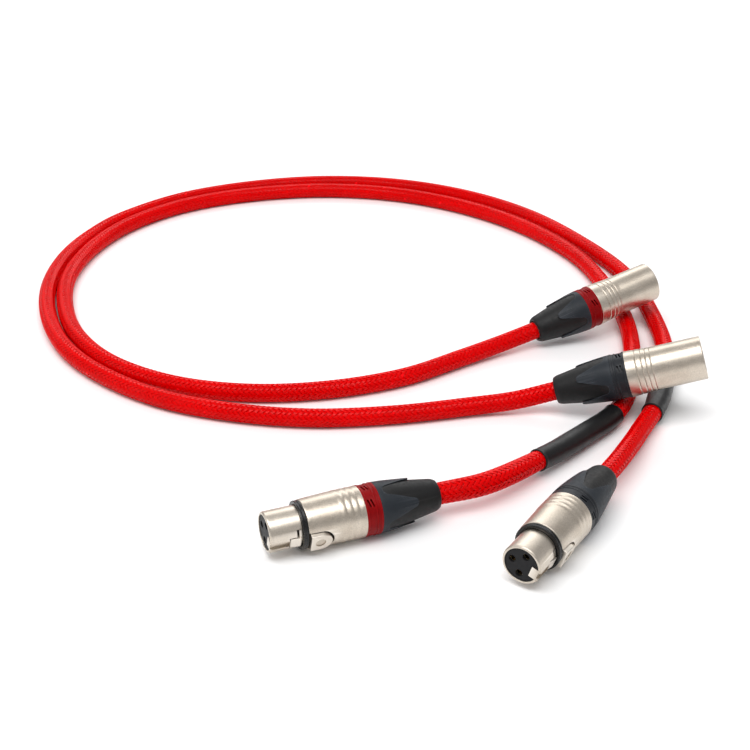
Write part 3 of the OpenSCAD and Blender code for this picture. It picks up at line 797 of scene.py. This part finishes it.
def male_shell():
    flare = (SHELL_R - BARREL_R) / (MALE_SHELL_LEN - FLARE_START)
    grooves = []
    for x in GROOVE_PLACES:
        r = BARREL_R + flare * (x - FLARE_START)
        grooves += [(x - GROOVE_HALF_W, r, 0.1), (x, r - GROOVE_DEPTH, 0.08),
                    (x + GROOVE_HALF_W, r, 0.1)]
    piece = turned("male_shell_master", [
        (0, HOLLOW_R + 0.15, 0.1), (0, 9.3, 0.12), (0.35, BARREL_R, 0.3),
        (FLARE_START, BARREL_R, 2), *grooves, (MALE_SHELL_LEN, SHELL_R, 0.12),
        (MALE_SHELL_LEN, COLLAR_BORE_R), (MALE_BORE_END, COLLAR_BORE_R),
        (MALE_BORE_END, HOLLOW_R), (0.3, HOLLOW_R, 0.1)])
    key = block((MALE_KEY_START, -1, HOLLOW_R - 1), (MALE_KEY_END, 1, HOLLOW_R + 0.5))
    join(piece, key, "UNION")
    for side in (-1, 1):
        low, high = sorted((WINDOW_INNER_Y * side, WINDOW_OUTER_Y * side))
        window = block((WINDOW_START, low, 5), (WINDOW_END, high, OUTSIDE))
        limit = turned("window_limit", [(1, 4), (1, WINDOW_R), (5, WINDOW_R), (5, 4)])
        join(window, limit, "INTERSECT")
        join(piece, window)
    return smooth(soften(piece, 0.08))


def coding_ring():
    band = SHELL_R - BAND_DEPTH
    piece = turned("coding_ring_master", [
        (0.03, SHELL_R - 1.75), (0.03, SHELL_R, 0.15), (0.9, SHELL_R, 0.12), (1.1, band, 0.12),
        (3.9, band, 0.12), (4.1, SHELL_R, 0.12), (4.4, SHELL_R, 0.12), (4.6, band, 0.12),
        (5.4, band, 0.12), (5.6, SHELL_R, 0.12), (CODING_LEN - 0.03, SHELL_R, 0.15),
        (CODING_LEN - 0.03, SHELL_R - 1.75)])
    slant = math.radians(SLOT_SLANT)
    ends = [math.radians(a) for a in range(0, 181, 20)]
    capsule = [(SLOT_R * math.cos(a), SLOT_HALF_LEN + SLOT_R * math.sin(a)) for a in ends]
    capsule += [(-x, -y) for x, y in capsule]
    for k in range(SLOT_PAIRS):
        for place in SLOT_PLACES:
            outline = [
                (place + x * math.cos(slant) - y * math.sin(slant),
                 x * math.sin(slant) + y * math.cos(slant)) for x, y in capsule]
            join(piece, prism(outline, SHELL_R - 1.6, SHELL_R + 1, turn=SLOT_TURN * k))
    return smooth(soften(piece, 0.05))


def tail_radius(x):
    """Radius of the tapering tail, at a distance from the start of the coding ring."""
    end = CODING_LEN + BOOT_LEN - 1.4
    return float(np.interp(x, [CODING_LEN, TAIL_KNEE, end], [10.0, 9.7, BOOT_REAR_R]))


def inlay_outline():
    """Soft inlay seen from outside: a round apex that widens until the tongues beside it end."""
    apex = INLAY_START + INLAY_APEX_R
    flare_end = TONGUE_END - INLAY_ROUND
    arc = [(apex - INLAY_APEX_R * math.sin(a), INLAY_APEX_R * math.cos(a))
           for a in np.linspace(0, math.pi / 2, 12)]
    flanks = [(x, float(np.interp(x, [apex, flare_end], [INLAY_APEX_R, INLAY_HALF_W])))
              for x in np.linspace(apex, flare_end, 10)[1:]]
    ends = [(flare_end + INLAY_ROUND * t, INLAY_HALF_W + 1.6 * (1 - math.sqrt(1 - t * t)))
            for t in np.linspace(0, 0.98, 12)[1:]]
    half = arc[::-1] + flanks + ends + [(TONGUE_END + 3, 6.4)]
    return half + [(x, -y) for x, y in half[:0:-1]]


def bushing():
    piece = turned("bushing_master", [
        (BUSHING_START, BUSHING_BORE_R), (BUSHING_START, SCREW_COLLAR_R),
        (CODING_LEN, SCREW_COLLAR_R), (CODING_LEN, 10.15, 0.25), (9, 10.05, 2),
        (TAIL_KNEE, tail_radius(TAIL_KNEE) + 0.15, 2),
        (TONGUE_END, tail_radius(TONGUE_END) + TONGUE_PROUD, 0.3), (TONGUE_END, TAIL_BORE_R),
        (BOOT_HOLLOW_END, TAIL_BORE_R), (BOOT_HOLLOW_END, BUSHING_BORE_R)])
    for turn in TONGUE_TURNS:
        join(piece, prism(inlay_outline(), 0, 14, turn=turn))
    return piece


def boot(bushing_piece):
    """Soft tail that fills the spaces between the bushing's tongues and runs on behind them."""
    end = CODING_LEN + BOOT_LEN
    front = 8.5
    shoulder = 13
    piece = turned("boot_master", [
        (front, 6.6), (front, tail_radius(front)), (shoulder, tail_radius(shoulder) - 0.05, 1),
        (end - 1.5, BOOT_REAR_R, 0.9), (end, BOOT_REAR_R - 0.75, 0.45), (end, 4.8, 0.3),
        (end - 0.9, BOOT_BORE_R, 0.2), (BOOT_HOLLOW_END, BOOT_BORE_R), (BOOT_HOLLOW_END, 6.6)])
    cutter = new_object("bushing_cutter", bushing_piece.data.copy())
    join(piece, cutter)
    return smooth(piece, 30)


def shifted(master, distance, turn=0.0):
    """Copy of a master piece moved along the connector and turned about its axis."""
    piece = new_object(f"{master.name}_{distance:g}_{turn:g}", master.data.copy())
    move = Matrix.Translation((distance, 0, 0)) @ Matrix.Rotation(math.radians(turn), 4, "X")
    piece.data.transform(move)
    return piece


def make_connectors():
    """Builds each kind of piece once and puts a copy on every connector that has it."""
    shells = {"female": female_shell(), "male": male_shell()}
    lengths = {"female": FEMALE_SHELL_LEN, "male": MALE_SHELL_LEN}
    gasket = female_gasket()
    latch = female_latch()
    ring = coding_ring()
    outer = bushing()
    inner = boot(outer)
    smooth(soften(outer, 0.06, 50), 30)
    masters = [*shells.values(), gasket, latch, ring, outer, inner]
    placed = {}
    for colour in ("red", "black"):
        for kind in ("female", "male"):
            connector = f"{colour}_{kind}"
            start = lengths[kind]
            own = [put(shells[kind], f"{connector}_shell", connector, "nickel_shell")]
            if kind == "female":
                own.append(put(gasket, f"{connector}_gasket", connector, "gasket_rubber"))
                own.append(put(
                    latch, f"{connector}_latch", connector, "nickel_shell", f"{colour}_latch"))
            turned_ring = shifted(ring, start, FIRST_SLOT[connector])
            tail = shifted(outer, start)
            soft_tail = shifted(inner, start)
            own.append(put(turned_ring, f"{connector}_coding_ring", connector, f"coding_{colour}"))
            own.append(put(tail, f"{connector}_bushing", connector, "bushing_plastic"))
            own.append(put(soft_tail, f"{connector}_boot", connector, "boot_rubber"))
            masters += [turned_ring, tail, soft_tail]
            placed[connector] = own
    for master in masters:
        bpy.data.objects.remove(master, do_unlink=True)
    return placed


# ---------------------------------------------------------------- stage

def area_light(name, place, target, size, energy):
    data = bpy.data.lights.new(name, "AREA")
    data.shape = "RECTANGLE"
    data.size, data.size_y = size
    data.energy = energy
    light = bpy.data.objects.new(name, data)
    light.location = place
    direction = Vector(target) - Vector(place)
    light.rotation_euler = direction.to_track_quat("-Z", "Y").to_euler()
    bpy.context.collection.objects.link(light)


def make_stage():
    half = 12.0
    corners = [(-half, -half, 0), (half, -half, 0), (half, half, 0), (-half, half, 0)]
    floor = new_object("floor", mesh_of("floor", corners, [(0, 1, 2, 3)]))
    n = Nodes("floor_pale")
    colour = n.mix(n.span(n.noise(300.0, 2.0), 0, 1), (0.95, 0.95, 0.95), (0.97, 0.97, 0.97))
    roughness = n.span(n.noise(60.0, 2.0), 0.75, 0.85)
    n.finish(colour, roughness, n.bump(n.noise(20.0, 2.0), 0.05, 0.1), Specular_IOR_Level=0.2)
    floor.data.materials.append(n.material)
    floor.location = (0, 0, min(0.0, CAD_BOX[0][2]))

    area_light("key", (-0.1, -0.45, 1.15), (0, 0, 0), (1.3, 0.65), 12)
    area_light("back", (0.2, 1.25, 0.75), (0, 0, 0), (1.6, 0.6), 3.5)
    area_light("far", (0.0, 1.9, 1.3), (0, 1.9, 0), (3.4, 1.6), 26)
    area_light("left", (-1.3, -0.1, 0.7), (0, 0, 0), (0.9, 0.7), 1.8)

    world = bpy.data.worlds.new("studio")
    world.use_nodes = True
    tree = world.node_tree
    background = tree.nodes["Background"]
    background.inputs["Color"].default_value = (0.46, 0.46, 0.465, 1)
    background.inputs["Strength"].default_value = 1.0
    bpy.context.scene.world = world
    bpy.context.scene.view_settings.view_transform = "Standard"


# ---------------------------------------------------------------- the object

make_camera()
MATERIALS = make_materials()
CONNECTORS = make_connectors()
INSIDE_FEMALE = ("latch_spring", "latch_pin", "insert", "sockets", "ground", "chuck",
                 "cable_end", "wires")
for cable_colour in ("red", "black"):
    inside = [frame["nodes"][f"{cable_colour}_female_{part}"] for part in INSIDE_FEMALE]
    make_cable(cable_colour, CONNECTORS[f"{cable_colour}_female"] + inside)
paint_cad_nodes()
make_stage()
